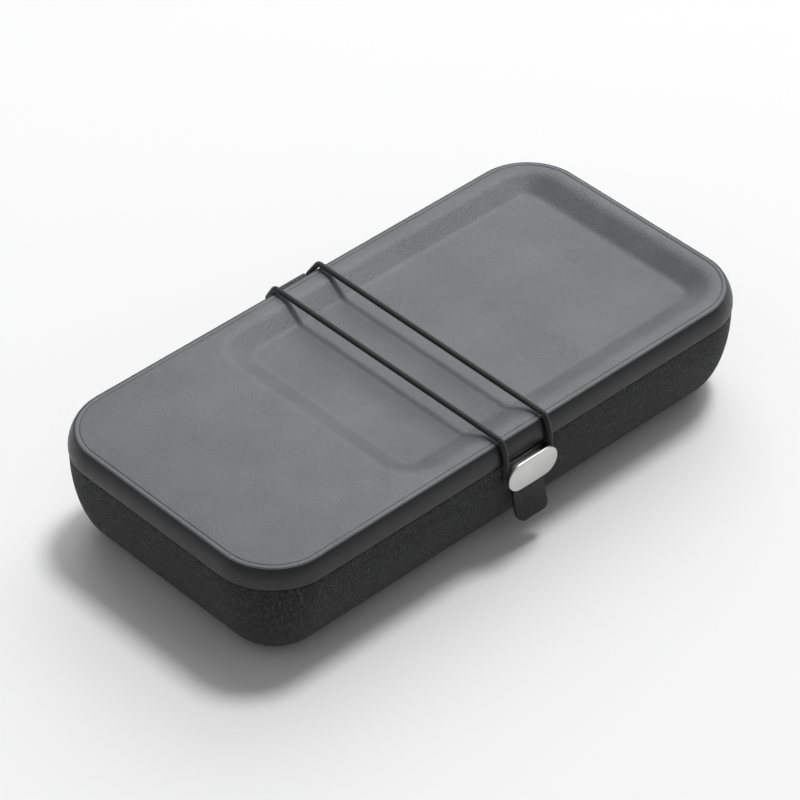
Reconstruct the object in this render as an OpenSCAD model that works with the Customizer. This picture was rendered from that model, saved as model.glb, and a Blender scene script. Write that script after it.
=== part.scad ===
// Desk organiser with a charging lid: a fabric-covered tub, a lift-off lid with a
// valet recess and a wireless charger, and an elastic loop that holds the lid down.
// +X runs along the length, -Y is the front (clasp side), +Z is up, and the origin is
// on the table under the middle of the tub.

/* [Overall] */
// Length over the widest line
body_l = 245; // [240:1:300]
// Width over the widest line
body_w = 122.2; // [118:0.2:160]
// Height from the table to the leather
body_h = 46; // [45:0.5:60]
// Plan radius of the corners
corner_r = 25.3; // [24:0.1:34]

/* [Tub] */
// Inward reach of the rounded belly, from the side to the underside
belly_in = 13.7; // [11:0.1:17]
// Height of the upright wall under the seam
belly_upright = 3; // [2:0.2:6]
// Step of the fabric in from the lid band
fabric_step = 0.3; // [0.2:0.1:0.8]
// Thickness of the fabric cover
fabric_t = 1; // [0.6:0.1:1.4]
// Wall of the moulded tub
tub_wall = 2.2; // [1.8:0.1:3]
// Thickness of the felt lining
lining_t = 1; // [0.6:0.1:1.4]
// Gap between the lid band and the tub rim
seam_gap = 0.3; // [0.1:0.1:0.6]
// Width of the fabric that is tucked under the tub
hem_w = 8; // [5:0.5:12]

/* [Underside] */
// Height of the rubber feet below the tub
foot_h = 1.5; // [1.5:0.1:4]
// Radius of a rubber foot
foot_r = 7; // [5:0.5:9]
// Depth that a foot sits in the bottom plate
foot_seat = 0.4; // [0.3:0.1:0.6]
// Distance of the feet's middles from the ends
foot_end = 37.5; // [32:0.5:50]
// Distance of the feet's middles from the front and back
foot_side = 33.1; // [31:0.1:36]
// Shank radius of the bottom plate screws
plate_screw_r = 1.2; // [1:0.1:1.5]
// Distance from a foot's centre to the nearest screw
plate_screw_step = 22; // [16:1:28]

/* [Dividers] */
// Thickness of a divider wall
divider_t = 2.4; // [1.6:0.2:4]
// Width of a divider's foot along the tub
divider_foot_w = 14; // [10:1:20]
// Top of the dividers below the rim
divider_drop = 4.5; // [4:0.5:12]
// Place of the left divider, as a share of the length
divider_left_share = -0.17; // [-0.25:0.005:-0.165]
// Place of the right divider, as a share of the length
divider_right_share = 0.155; // [0.15:0.005:0.25]
// Running clearance of a divider in the tub
divider_gap = 0.3; // [0.2:0.1:0.6]

/* [Lid band] */
// Height of the black band of the lid
band_h = 8.14; // [7.9:0.02:10]
// Lean of the band, inward from the seam to the leather
band_lean = 2.3; // [1.8:0.1:2.8]
// Top lip of the band beside the leather
lip_w = 0.3; // [0.2:0.1:0.5]
// Drop of that lip below the leather
lip_drop = 0.2; // [0.1:0.1:0.4]
// Width of the shelf under the leather's edge
leather_shelf = 2.1; // [1.8:0.1:2.4]
// Width of the ledge that carries the tray board
ledge_w = 1.3; // [1:0.1:1.4]
// Thickness of that ledge
ledge_t = 1.4; // [1:0.1:2]
// Thickness of the locating lip that enters the tub
locator_t = 1.5; // [1.2:0.1:1.8]
// Depth of the locating lip below the seam
locator_h = 2.4; // [2.2:0.1:2.6]
// Clearance of the locating lip in the tub
locator_gap = 0.4; // [0.3:0.1:0.6]

/* [Leather top] */
// Thickness of the leather
leather_t = 1.2; // [0.8:0.1:1.6]
// Thickness of the tray board
board_t = 1.6; // [1.2:0.1:2]
// Radius of the rolled leather edge
roll_r = 0.6; // [0.4:0.1:0.8]
// Length of the flat charging area left of the recess
flat_l = 70.5; // [68:0.5:74]
// Distance of the recess from the right end
tray_end = 6; // [6:0.5:14]
// Distance of the recess from the front and back
tray_side = 6.1; // [6.1:0.1:12]
// Depth of the recess
tray_depth = 4.4; // [3:0.1:4.6]
// Width of its sloping walls
tray_run = 13.9; // [11:0.1:16]
// Plan radius of the recess at the top
tray_r = 18; // [17:0.5:22]

/* [Charger] */
// Distance of the coil's middle from the left end
coil_end = 36.5; // [35:0.5:38]
// Outer radius of the coil
coil_r = 21; // [18:0.5:23]
// Inner radius of the coil
coil_hole_r = 10; // [8:0.5:12]
// Thickness of the coil
coil_t = 1.2; // [0.8:0.1:1.4]
// Radius of the ferrite disc
ferrite_r = 25; // [24:0.5:26]
// Thickness of the ferrite disc
ferrite_t = 0.8; // [0.5:0.1:1]
// Step of the circuit board along the lid, from the coil's middle
pcb_step = 12; // [10:0.5:13]
// Length of the circuit board
pcb_l = 32; // [30:1:34]
// Gap between the ferrite disc and the circuit board, seen from above
pcb_gap = 2.7; // [2:0.1:4]
// Thickness of the circuit board
pcb_t = 1.2; // [0.8:0.1:1.6]
// Height of the pillars under the circuit board
pillar_h = 2.3; // [2.2:0.1:2.6]
// Width of the USB-C socket
usb_w = 8.94; // [8.9:0.02:9]
// Height of the USB-C socket
usb_h = 3.26; // [3.2:0.02:3.3]
// Length of the USB-C socket
usb_l = 7.4; // [7:0.1:9]

/* [Lid underside] */
// Thickness of the inner cover
cover_t = 1.2; // [1:0.1:1.4]
// Thickness of the felt on the inner cover
felt_t = 0.8; // [0.5:0.1:1]
// Shank radius of the cover screws
cover_screw_r = 0.9; // [0.8:0.1:1]

/* [Clasp] */
// Width of the metal face
face_w = 24; // [22:0.1:26]
// Height of the metal face
face_h = 11.9; // [11.5:0.1:12.4]
// Thickness of the metal face
face_t = 1.2; // [1:0.1:1.6]
// Width of the neck behind the face
neck_w = 18.6; // [17:0.1:18.8]
// Height of the neck
neck_h = 7; // [6:0.1:7.2]
// Length of the neck
neck_l = 2.9; // [2.8:0.1:3.4]
// Drop of the clasp's middle below the seam
clasp_drop = 6.06; // [5.7:0.02:6.5]
// Width of the black back plate
back_plate_w = 22; // [20:0.5:24]
// Height of the black back plate
back_plate_h = 9; // [8.4:0.1:9.2]
// Rise of the back plate's middle above the clasp's
back_plate_rise = 0.8; // [0.6:0.1:0.9]
// Thickness of the black back plate
back_plate_t = 0.5; // [0.4:0.1:0.6]
// Shank radius of the clasp screws
clasp_screw_r = 1.2; // [1:0.1:1.4]

/* [Elastic loop] */
// Radius of the elastic cord
cord_r = 1.1; // [0.8:0.05:1.1]
// Distance of each strand from the middle
strand_x = 10.8; // [10.6:0.1:11]
// Reach of the loop in front of and behind the tub's side
loop_out = 5.7; // [5.7:0.1:7]
// Length of the joining ferrule
ferrule_l = 7; // [6:0.5:7]
// Radius of the joining ferrule
ferrule_r = 1.3; // [1.2:0.05:1.3]
// Width of the pull tab
tab_w = 15.2; // [14:0.1:16]
// Thickness of the pull tab
tab_t = 1.6; // [1.2:0.1:2]
// Corner radius of the pull tab
tab_corner_r = 3; // [2:0.1:4]
// Length of the pull tab below the front bight
tab_l = 15.1; // [11:0.1:18]

/* [Rear keeper] */
// Width of the webbing
webbing_w = 18; // [16:0.5:18.4]
// Thickness of the webbing round the cord
webbing_t = 0.7; // [0.6:0.05:0.8]
// Thickness of the doubled webbing below the sleeve
tail_t = 1.6; // [1.4:0.1:2]
// Lower end of the webbing below the seam
tail_drop = 11.86; // [11:0.02:12.5]
// Shank radius of the keeper screws
keeper_screw_r = 1.2; // [1:0.1:1.4]

/* [Hidden] */
$fn = 48;

black = [0.05, 0.05, 0.055];
charcoal = [0.16, 0.16, 0.17];
leather_grey = [0.36, 0.38, 0.41];
felt_grey = [0.3, 0.3, 0.31];
metal = [0.72, 0.72, 0.73];
steel = [0.55, 0.55, 0.57];
copper = [0.72, 0.4, 0.2];
board_green = [0.08, 0.3, 0.16];
ferrite_grey = [0.2, 0.2, 0.21];
foam_white = [0.8, 0.8, 0.78];

// Small overshoot of cutting bodies
cut = 1;
// Number of straight pieces in each curved outline
curve_steps = 10;
// Number of straight pieces in the recess's sloping wall
slope_steps = 6;

// Heights
seam_z = body_h - band_h;
rim_z = seam_z - seam_gap;
fabric_top_z = rim_z - 0.1;
belly_z = rim_z - belly_upright;
shell_floor_z = foot_h + fabric_t;
lining_floor_z = shell_floor_z + tub_wall;
inside_floor_z = lining_floor_z + lining_t;
board_top_z = body_h - leather_t;
board_under_z = board_top_z - board_t;
locator_z = seam_z - locator_h;
cover_top_z = locator_z + felt_t + cover_t;
cover_under_z = cover_top_z - cover_t;

// Front and back faces of the widest line
side_y = body_w / 2;

// Distances in from the widest line
leather_in = band_lean + lip_w;
shelf_in = leather_in + leather_shelf;
ledge_in = shelf_in + ledge_w;
tub_inner_in = fabric_step + fabric_t + tub_wall;
locator_in = tub_inner_in + locator_gap;
cover_in = locator_in + locator_t;
plate_in = fabric_step + belly_in + hem_w + 0.3;
seal_in = 1.7;

// Clearance between pieces that are screwed or glued together
fit_gap = 0.1;
// Width of the rim seal, and its depth in the band
seal_w = 1.2;
seal_h = 0.5;
// Radius of the lid's screw bosses, and their distance in from the widest line
boss_r = 2.4;
boss_in = cover_in + boss_r - 0.5;
// Places of the feet
foot_x = body_l / 2 - foot_end;
foot_y = side_y - foot_side;
// Wall round each screw of the bottom plate
post_wall = 2;
// Depth of the screws in their posts and bosses
bite = 4;

// Charger parts
coil_x = coil_end - body_l / 2;
pcb_x = coil_x + pcb_step;
pcb_y0 = ferrite_r + pcb_gap;
pcb_w = side_y - cover_in - 0.5 - pcb_y0;
pcb_z = cover_top_z + pillar_h;
pillar_r = 2.2;
board_screw_r = 1;
coil_z = board_under_z - coil_t;
ferrite_z = coil_z - ferrite_t;
usb_x = pcb_x;
usb_mouth_y = side_y - 1.9;
usb_z = pcb_z + pcb_t / 2;

// Rear sleeve axis and front bight of the elastic loop
sleeve_r = ferrule_r + 0.2 + webbing_t;
loop_reach = side_y + loop_out;
sleeve_y = loop_reach - sleeve_r;
sleeve_z = seam_z + 0.44;
clasp_z = seam_z - clasp_drop;
bight_y = -side_y - cord_r - 0.2;
bight_z = clasp_z - 5.6;
taut_z = body_h + cord_r + 0.5;
strand_flat = 9.1;
tab_end_z = bight_z - tab_l;
tail_z = seam_z - tail_drop;

// The right half of the elastic's route, from the ferrule to the middle of the bight
half_route = [
  [ferrule_l / 2, sleeve_y, sleeve_z],
  [strand_x - 4.8, sleeve_y, sleeve_z],
  [strand_x - 2.6, sleeve_y, sleeve_z],
  [strand_x - 1.4, sleeve_y, sleeve_z + 0.3],
  [strand_x - 0.8, side_y + 3.3, sleeve_z + 1.1],
  [strand_x - 0.6, side_y + 2.7, sleeve_z + 2.5],
  [strand_x - 0.2, side_y + 0.3, body_h - 1.5],
  [strand_x, side_y - 1, body_h + 0.5],
  [strand_x, side_y - 1.8, taut_z - 0.3],
  [strand_x, side_y - 2.9, taut_z],
  [strand_x, side_y - strand_flat, taut_z],
  [strand_x, side_y / 2, taut_z],
  [strand_x, 0, taut_z],
  [strand_x, -side_y / 2, taut_z],
  [strand_x, -side_y + strand_flat, taut_z],
  [strand_x, -side_y + 2.9, taut_z],
  [strand_x, -side_y + 1.8, taut_z - 0.3],
  [strand_x, -side_y + 0.9, body_h + 0.4],
  [strand_x, -side_y - 0.2, body_h - 1.8],
  [strand_x, -side_y - 1, body_h - 4.8],
  [strand_x, bight_y, seam_z + 0.1],
  [strand_x, bight_y, clasp_z],
  [strand_x - 0.7, bight_y, clasp_z - 2.8],
  [strand_x - 2.5, bight_y, bight_z + 0.8],
  [strand_x - 4.8, bight_y, bight_z],
  [3, bight_y, bight_z],
  [0, bight_y, bight_z]
];

// Faces that the clasp and the keeper stack up from, and the bosses inside the tub
fabric_y = side_y - fabric_step;
neck_back_y = -fabric_y - back_plate_t;
face_back_y = neck_back_y - neck_l;
boss_t = 0.8;
boss_y = side_y - tub_inner_in - boss_t;
boss_w = 27;
boss_h = 10;
boss_drop = 8.06;
boss_z = seam_z - boss_drop;
washer_t = 1;
washer_w = 20;
washer_h = 6;
washer_z = clasp_z - 0.4;
screw_pitch = 10;
head_h = 1.3;
plate_head_h = 0.9;
cover_head_h = 0.7;
cover_head_r = cover_screw_r + 0.9;
neck_wall = 0.8;

// Half-ellipse of the belly, in from the side by an even depth d, as [out, height]
// from the upright wall down to the underside. Out is measured from the corner centre.
function belly(d) = [
  for (i = [0:curve_steps])
    let (a = 90 * i / curve_steps)
    [
      corner_r - fabric_step - belly_in + (belly_in - d) * cos(a),
      belly_z - (belly_z - foot_h - d) * sin(a)
    ]
];

// Outline of one layer of the tub: from depth d0 to depth d1, up to a top height.
// Closed layers reach the middle, and open ones stop after the hem.
function layer(d0, d1, top, hem) = concat(
  [[corner_r - fabric_step - d1, top], [corner_r - fabric_step - d0, top]],
  belly(d0),
  [[hem, foot_h + d0], [hem, foot_h + d1]],
  [for (i = [curve_steps:-1:0]) belly(d1)[i]]
);

// Depth of the recess at a share s of its sloping wall, with soft ends
blend_top = 0.35;
blend_floor = 0.2;
slope_m = 1 / (1 - (blend_top + blend_floor) / 2);
function slope(s) =
  s < blend_top ? slope_m * s * s / (2 * blend_top) :
  s > 1 - blend_floor ? 1 - slope_m * (1 - s) * (1 - s) / (2 * blend_floor) :
  slope_m * (s - blend_top / 2);

// Turns the outline given as a child round the corners and along the sides of a
// rounded rectangle. The child's X is the distance out from the corner's centre.
module wrap(l, w, r) {
  cx = l / 2 - r;
  cy = w / 2 - r;
  for (i = [0:3]) {
    sx = (i == 0 || i == 3) ? 1 : -1;
    sy = i < 2 ? 1 : -1;
    translate([sx * cx, sy * cy, 0])
      rotate(90 * i) {
        rotate_extrude(angle = 90) children();
        rotate([90, 0, 0])
          linear_extrude(i % 2 == 0 ? 2 * cy : 2 * cx) children();
      }
  }
}

// Fills the middle that wrap leaves open
module middle(l, w, r, z0, z1) {
  translate([r - l / 2, r - w / 2, z0])
    cube([l - 2 * r, w - 2 * r, z1 - z0]);
}

// A plate with round corners, inset from the widest line
module inset_plate(inset, z0, z1) {
  wrap(body_l - 2 * inset, body_w - 2 * inset, corner_r - inset)
    translate([0, z0]) square([corner_r - inset, z1 - z0]);
  middle(body_l - 2 * inset, body_w - 2 * inset, corner_r - inset, z0, z1);
}

// Everything that follows the outline of the valet recess
rim_lap = 0.5;
recess_l = body_l - tray_end - flat_l;
recess_w = body_w - 2 * tray_side;
recess_x = (flat_l - tray_end) / 2;

// The straight-sided hole that the recess makes in a plate
module recess_hole(z0, z1) {
  translate([recess_x, 0, 0]) {
    wrap(recess_l, recess_w, tray_r)
      translate([0, z0]) square([tray_r, z1 - z0]);
    middle(recess_l, recess_w, tray_r, z0, z1);
  }
}

// Sloping walls and floor of the recess, hung from a rim height, of one thickness
module recess_pan(rim, t) {
  wall = [
    for (i = [0:slope_steps])
      let (s = i / slope_steps)
      [tray_r - tray_run * s, rim - tray_depth * slope(s)]
  ];
  floor_l = recess_l - 2 * tray_run;
  floor_w = recess_w - 2 * tray_run;
  floor_r = tray_r - tray_run;
  floor_z = rim - tray_depth;
  translate([recess_x, 0, 0]) {
    wrap(recess_l, recess_w, tray_r)
      polygon(concat(
        [[tray_r + rim_lap, rim]],
        wall,
        [for (i = [slope_steps:-1:0]) wall[i] - [0, t]],
        [[tray_r + rim_lap, rim - t]]
      ));
    wrap(floor_l, floor_w, floor_r)
      translate([0, floor_z - t]) square([floor_r, t]);
    middle(floor_l, floor_w, floor_r, floor_z - t, floor_z);
  }
}

// An upright pill or round-cornered plate on the front, from y0 back to y1
module upright_plate(w, h, r, y0, y1, z) {
  for (sx = [-1, 1], sz = [-1, 1])
    translate([sx * (w / 2 - r), y1, z + sz * (h / 2 - r)])
      rotate([90, 0, 0])
        cylinder(r = r, h = y1 - y0);
  translate([-w / 2 + r, y0, z - h / 2])
    cube([w - 2 * r, y1 - y0, h]);
  if (h > 2 * r)
    translate([-w / 2, y0, z - h / 2 + r])
      cube([w, y1 - y0, h - 2 * r]);
}

// A rod along Y between two depths
module y_rod(r, y0, y1) {
  translate([0, y1, 0])
    rotate([90, 0, 0])
      cylinder(r = r, h = y1 - y0);
}

// Places of the two screws behind the clasp and behind the keeper
module screw_pair(z) {
  for (sx = [-1, 1])
    translate([sx * screw_pitch / 2, 0, z]) children();
}

// Places of the feet, and of the bottom plate's screws between them
module foot_places() {
  for (sx = [-1, 1], sy = [-1, 1])
    translate([sx * foot_x, sy * foot_y, 0]) children();
}

module plate_screw_places() {
  for (sx = [-1, 0, 1], sy = [-1, 1])
    translate([sx * (foot_x - plate_screw_step), sy * foot_y, 0]) children();
}

// Places of the cover screws, just inside the lid's wall
module cover_screw_places() {
  for (share = [-0.98, -0.33, 0.33, 0.98], sy = [-1, 1])
    translate([share * (body_l / 2 - corner_r), sy * (side_y - boss_in), 0]) children();
  for (sx = [-1, 1])
    translate([sx * (body_l / 2 - boss_in), 0, 0]) children();
}

// Base

module tub_shell() {
  d0 = fabric_t;
  d1 = fabric_t + tub_wall;
  color(black)
    difference() {
      union() {
        wrap(body_l, body_w, corner_r) polygon(layer(d0, d1, rim_z, 0));
        middle(body_l, body_w, corner_r, shell_floor_z, lining_floor_z);
        for (s = [-1, 1])
          translate([-boss_w / 2, s > 0 ? boss_y : -boss_y - 2 * boss_t, boss_z - boss_h / 2])
            cube([boss_w, 2 * boss_t, boss_h]);
        plate_screw_places()
          translate([0, 0, lining_floor_z - cut])
            cylinder(r = plate_screw_r + post_wall, h = lining_t + cut);
      }
      screw_pair(clasp_z) y_rod(clasp_screw_r + fit_gap, -side_y, 0);
      screw_pair(boss_z) y_rod(keeper_screw_r + fit_gap, 0, side_y);
      plate_screw_places()
        translate([0, 0, foot_h])
          cylinder(r = plate_screw_r, h = bite);
    }
}

module fabric_cover() {
  hem_x = corner_r - fabric_step - belly_in - hem_w;
  color(charcoal)
    difference() {
      wrap(body_l, body_w, corner_r)
        polygon(layer(0, fabric_t, fabric_top_z, hem_x));
      screw_pair(clasp_z) y_rod(clasp_screw_r + fit_gap, -side_y, 0);
      screw_pair(boss_z) y_rod(keeper_screw_r + fit_gap, 0, side_y);
    }
}

module inner_lining() {
  d0 = fabric_t + tub_wall;
  d1 = d0 + lining_t;
  top = locator_z - divider_gap;
  color(felt_grey)
    difference() {
      union() {
        wrap(body_l, body_w, corner_r) polygon(layer(d0, d1, top, 0));
        middle(body_l, body_w, corner_r, lining_floor_z, inside_floor_z);
      }
      for (s = [-1, 1])
        translate([0, s * boss_y, boss_z])
          cube([boss_w + 2 * fit_gap, bite, boss_h + 2 * fit_gap], center = true);
      plate_screw_places()
        translate([0, 0, lining_floor_z - cut])
          cylinder(r = plate_screw_r + post_wall + fit_gap, h = lining_t + 2 * cut);
    }
}

module bottom_plate() {
  color(black)
    difference() {
      inset_plate(plate_in, foot_h, shell_floor_z);
      foot_places()
        translate([0, 0, foot_h - cut])
          cylinder(r = foot_r + fit_gap, h = foot_seat + cut);
      plate_screw_places()
        translate([0, 0, foot_h - cut])
          cylinder(r = plate_screw_r + fit_gap, h = fabric_t + 2 * cut);
    }
}

module bottom_screws() {
  color(steel)
    plate_screw_places() {
      translate([0, 0, foot_h - plate_head_h])
        cylinder(r = 2 * plate_screw_r, h = plate_head_h);
      translate([0, 0, foot_h - fit_gap])
        cylinder(r = plate_screw_r, h = bite);
    }
}

module rubber_feet() {
  color(black)
    foot_places()
      cylinder(r = foot_r, h = foot_h + foot_seat);
}

module clasp_back_plate() {
  color(black)
    difference() {
      upright_plate(back_plate_w, back_plate_h, 3, neck_back_y, -fabric_y,
        clasp_z + back_plate_rise);
      screw_pair(clasp_z) y_rod(clasp_screw_r + fit_gap, -side_y - cut, 0);
    }
}

module clasp_neck() {
  color(metal)
    difference() {
      upright_plate(neck_w, neck_h, neck_h / 2, face_back_y, neck_back_y, clasp_z);
      screw_pair(clasp_z) y_rod(clasp_screw_r, face_back_y + neck_wall, 0);
    }
}

module clasp_face() {
  color(metal)
    upright_plate(face_w, face_h, face_h / 2, face_back_y - face_t, face_back_y, clasp_z);
}

module clasp_washer_plate() {
  color(steel)
    difference() {
      upright_plate(washer_w, washer_h, 2, -boss_y, -boss_y + washer_t, washer_z);
      screw_pair(clasp_z) y_rod(clasp_screw_r + fit_gap, -side_y, 0);
    }
}

module clasp_screws() {
  color(steel)
    screw_pair(clasp_z) {
      y_rod(clasp_screw_r, face_back_y + neck_wall, -boss_y + washer_t);
      y_rod(clasp_screw_r + 1, -boss_y + washer_t, -boss_y + washer_t + head_h);
    }
}

// Webbing folded round the loop's rear bight, with both ends sewn together below it
module keeper_webbing() {
  wall_y = fabric_y;
  color(charcoal)
    difference() {
      union() {
        translate([-webbing_w / 2, 0, 0])
          rotate([90, 0, 90])
            linear_extrude(webbing_w)
              polygon([
                [wall_y, tail_z],
                [wall_y + tail_t, tail_z],
                [wall_y + tail_t, sleeve_z - 3.4],
                [sleeve_y + sleeve_r * 0.7, sleeve_z - sleeve_r * 0.7],
                [sleeve_y, sleeve_z],
                [sleeve_y - sleeve_r * 0.9, sleeve_z - sleeve_r * 0.4],
                [wall_y, rim_z - 3]
              ]);
        translate([-webbing_w / 2, sleeve_y, sleeve_z])
          rotate([0, 90, 0])
            cylinder(r = sleeve_r, h = webbing_w);
      }
      translate([-webbing_w / 2 - cut, sleeve_y, sleeve_z])
        rotate([0, 90, 0])
          cylinder(r = ferrule_r + 0.2, h = webbing_w + 2 * cut);
      screw_pair(boss_z) y_rod(keeper_screw_r + fit_gap, 0, side_y + 5);
    }
}

module keeper_anchor_plate() {
  color(steel)
    difference() {
      upright_plate(washer_w, washer_h, 2, boss_y - washer_t, boss_y, boss_z);
      screw_pair(boss_z) y_rod(keeper_screw_r, 0, side_y);
    }
}

module keeper_screws() {
  outer_y = fabric_y + tail_t;
  color(steel)
    screw_pair(boss_z) {
      y_rod(keeper_screw_r, boss_y - washer_t - 1, outer_y);
      y_rod(keeper_screw_r + 1, outer_y, outer_y + 0.9);
    }
}

// A felt-covered wall across the tub, cut to the belly, with a wide foot
module divider(x) {
  d = fabric_t + tub_wall + lining_t + divider_gap;
  shift = side_y - corner_r;
  points = belly(d);
  top = rim_z - divider_drop;
  outline = concat(
    [for (p = points) if (p[1] < top) [p[0] + shift, p[1]]],
    [for (i = [curve_steps:-1:0]) if (points[i][1] < top) [-points[i][0] - shift, points[i][1]]]
  );
  half = side_y - fabric_step - d;
  foot_half = side_y - fabric_step - belly_in - 1;
  color(felt_grey) {
    translate([x - divider_t / 2, 0, 0])
      rotate([90, 0, 90])
        linear_extrude(divider_t)
          polygon(concat([[-half, top], [half, top]], outline));
    for (s = [-1, 1])
      translate([
        s > 0 ? x + divider_t / 2 : x - divider_foot_w / 2,
        -foot_half,
        inside_floor_z + divider_gap
      ])
        cube([divider_foot_w / 2 - divider_t / 2, 2 * foot_half, 1.2]);
  }
}

module divider_left() {
  divider(divider_left_share * body_l);
}

module divider_right() {
  divider(divider_right_share * body_l);
}

// Lid

// A slot with round ends along Y, the shape of the socket and of its opening
module usb_slot(w, h, y0, y1) {
  translate([usb_x, 0, usb_z]) {
    for (s = [-1, 1])
      translate([s * (w - h) / 2, 0, 0]) y_rod(h / 2, y0, y1);
    translate([-(w - h) / 2, y0, -h / 2])
      cube([w - h, y1 - y0, h]);
  }
}

module lid_frame() {
  lean = [
    for (i = [0:curve_steps])
      let (s = i / curve_steps)
      [corner_r - band_lean * pow(s, 2.2), seam_z + (band_h - lip_drop) * s]
  ];
  color(black)
    difference() {
      union() {
        wrap(body_l, body_w, corner_r)
          polygon(concat(
            lean,
            [
              [corner_r - leather_in, body_h - lip_drop],
              [corner_r - leather_in, board_top_z],
              [corner_r - shelf_in, board_top_z],
              [corner_r - shelf_in, board_under_z],
              [corner_r - ledge_in, board_under_z],
              [corner_r - ledge_in, board_under_z - ledge_t],
              [corner_r - cover_in, board_under_z - ledge_t],
              [corner_r - cover_in, locator_z],
              [corner_r - locator_in, locator_z],
              [corner_r - locator_in, seam_z]
            ]
          ));
        cover_screw_places()
          translate([0, 0, cover_top_z])
            cylinder(r = boss_r, h = board_under_z - ledge_t - cover_top_z);
      }
      cover_screw_places()
        translate([0, 0, cover_top_z - cut])
          cylinder(r = cover_screw_r, h = bite);
      usb_slot(usb_w + 0.4, usb_h + 0.4, side_y - usb_l - cut, side_y + cut);
      wrap(body_l, body_w, corner_r)
        translate([corner_r - seal_in - seal_w, seam_z - cut])
          square([seal_w, cut + seal_h]);
    }
}

module tray_board() {
  color(black) {
    difference() {
      inset_plate(shelf_in + fit_gap, board_under_z, board_top_z);
      recess_hole(board_under_z - cut, board_top_z + cut);
    }
    recess_pan(board_top_z, board_t);
  }
}

module leather_top() {
  inset = leather_in;
  l = body_l - 2 * inset;
  w = body_w - 2 * inset;
  r = corner_r - inset;
  color(leather_grey) {
    difference() {
      union() {
        wrap(l, w, r)
          polygon([
            [0, board_top_z],
            [r, board_top_z],
            [r, body_h - roll_r],
            [r - roll_r * 0.13, body_h - roll_r * 0.5],
            [r - roll_r * 0.5, body_h - roll_r * 0.13],
            [r - roll_r, body_h],
            [0, body_h]
          ]);
        middle(l, w, r, board_top_z, body_h);
      }
      recess_hole(board_top_z - cut, body_h + cut);
    }
    recess_pan(body_h, leather_t);
  }
}

// Rubber ring in the underside of the band, which sits on the tub's rim
module rim_seal() {
  color(black)
    wrap(body_l, body_w, corner_r)
      translate([corner_r - seal_in - seal_w + 0.05, rim_z + 0.05])
        square([seal_w - 0.1, seam_z + seal_h - rim_z - 0.05]);
}

// Places of the circuit board's three screws
module board_screw_places() {
  for (p = [[-1, -1], [-1, 1], [1, -1]])
    translate([
      pcb_x + p[0] * (pcb_l / 2 - 4),
      pcb_y0 + pcb_w / 2 + p[1] * (pcb_w / 2 - 4),
      0
    ]) children();
}

module inner_cover() {
  color(black)
    difference() {
      union() {
        inset_plate(cover_in + fit_gap, cover_under_z, cover_top_z);
        board_screw_places()
          translate([0, 0, cover_top_z])
            cylinder(r = pillar_r, h = pillar_h);
      }
      cover_screw_places()
        translate([0, 0, cover_under_z - cut])
          cylinder(r = cover_screw_r + fit_gap, h = cover_t + 2 * cut);
      board_screw_places()
        translate([0, 0, cover_under_z - cut])
          cylinder(r = board_screw_r, h = cover_t + pillar_h + 2 * cut);
    }
}

module cover_screws() {
  color(steel)
    cover_screw_places() {
      translate([0, 0, cover_under_z - cover_head_h])
        cylinder(r = cover_head_r, h = cover_head_h);
      translate([0, 0, cover_under_z - fit_gap])
        cylinder(r = cover_screw_r, h = bite);
    }
}

module cover_felt() {
  color(felt_grey)
    difference() {
      inset_plate(cover_in + fit_gap, locator_z, cover_under_z);
      cover_screw_places()
        translate([0, 0, locator_z - cut])
          cylinder(r = cover_head_r + fit_gap, h = felt_t + 2 * cut);
    }
}

module charging_coil() {
  color(copper)
    translate([coil_x, 0, coil_z])
      difference() {
        cylinder(r = coil_r, h = coil_t);
        translate([0, 0, -cut]) cylinder(r = coil_hole_r, h = coil_t + 2 * cut);
      }
}

module ferrite_disc() {
  color(ferrite_grey)
    translate([coil_x, 0, ferrite_z])
      cylinder(r = ferrite_r, h = ferrite_t);
}

module coil_foam() {
  color(foam_white)
    translate([coil_x, 0, cover_top_z])
      cylinder(r = coil_r - 2, h = ferrite_z - cover_top_z);
}

module circuit_board() {
  notch_w = usb_w + 0.4;
  notch_y = usb_mouth_y - usb_l - 0.2;
  color(board_green)
    difference() {
      translate([pcb_x - pcb_l / 2, pcb_y0, pcb_z])
        cube([pcb_l, pcb_w, pcb_t]);
      translate([usb_x - notch_w / 2, notch_y, pcb_z - cut])
        cube([notch_w, usb_l, pcb_t + 2 * cut]);
      board_screw_places()
        translate([0, 0, pcb_z - cut])
          cylinder(r = board_screw_r + fit_gap, h = pcb_t + 2 * cut);
    }
}

// A part on the circuit board, placed and sized in shares of the board
module board_part(x, y, w, d, h) {
  translate([x * pcb_l, y * pcb_w, 0])
    cube([w * pcb_l, d * pcb_w, h * pcb_t]);
}

// Inductor, two chips and two rows of capacitors on the top of the circuit board
module board_components() {
  color(ferrite_grey)
    translate([pcb_x, pcb_y0, pcb_z + pcb_t]) {
      board_part(-0.22, 0.13, 0.22, 0.25, 1.25);
      board_part(0.05, 0.145, 0.19, 0.22, 0.75);
      board_part(-0.42, 0.42, 0.125, 0.145, 0.75);
      for (i = [0:3]) board_part(-0.22 + 0.1 * i, 0.495, 0.0625, 0.045, 0.9);
      for (i = [0:2]) board_part(0.235, 0.455 + 0.124 * i, 0.1, 0.087, 1.1);
    }
}

module board_screws() {
  color(steel)
    board_screw_places() {
      translate([0, 0, pcb_z + pcb_t]) cylinder(r = 1.9, h = 1);
      translate([0, 0, cover_top_z + 0.3]) cylinder(r = board_screw_r, h = pillar_h + pcb_t);
    }
}

module usb_socket() {
  shell_t = 0.3;
  back_y = usb_mouth_y - usb_l;
  color(steel)
    difference() {
      usb_slot(usb_w, usb_h, back_y, usb_mouth_y);
      usb_slot(usb_w - 2 * shell_t, usb_h - 2 * shell_t, back_y + 1.2, usb_mouth_y + cut);
    }
}

// Elastic loop

route = concat(half_route, [for (i = [len(half_route) - 2:-1:0])
  [-half_route[i][0], half_route[i][1], half_route[i][2]]]);

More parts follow.
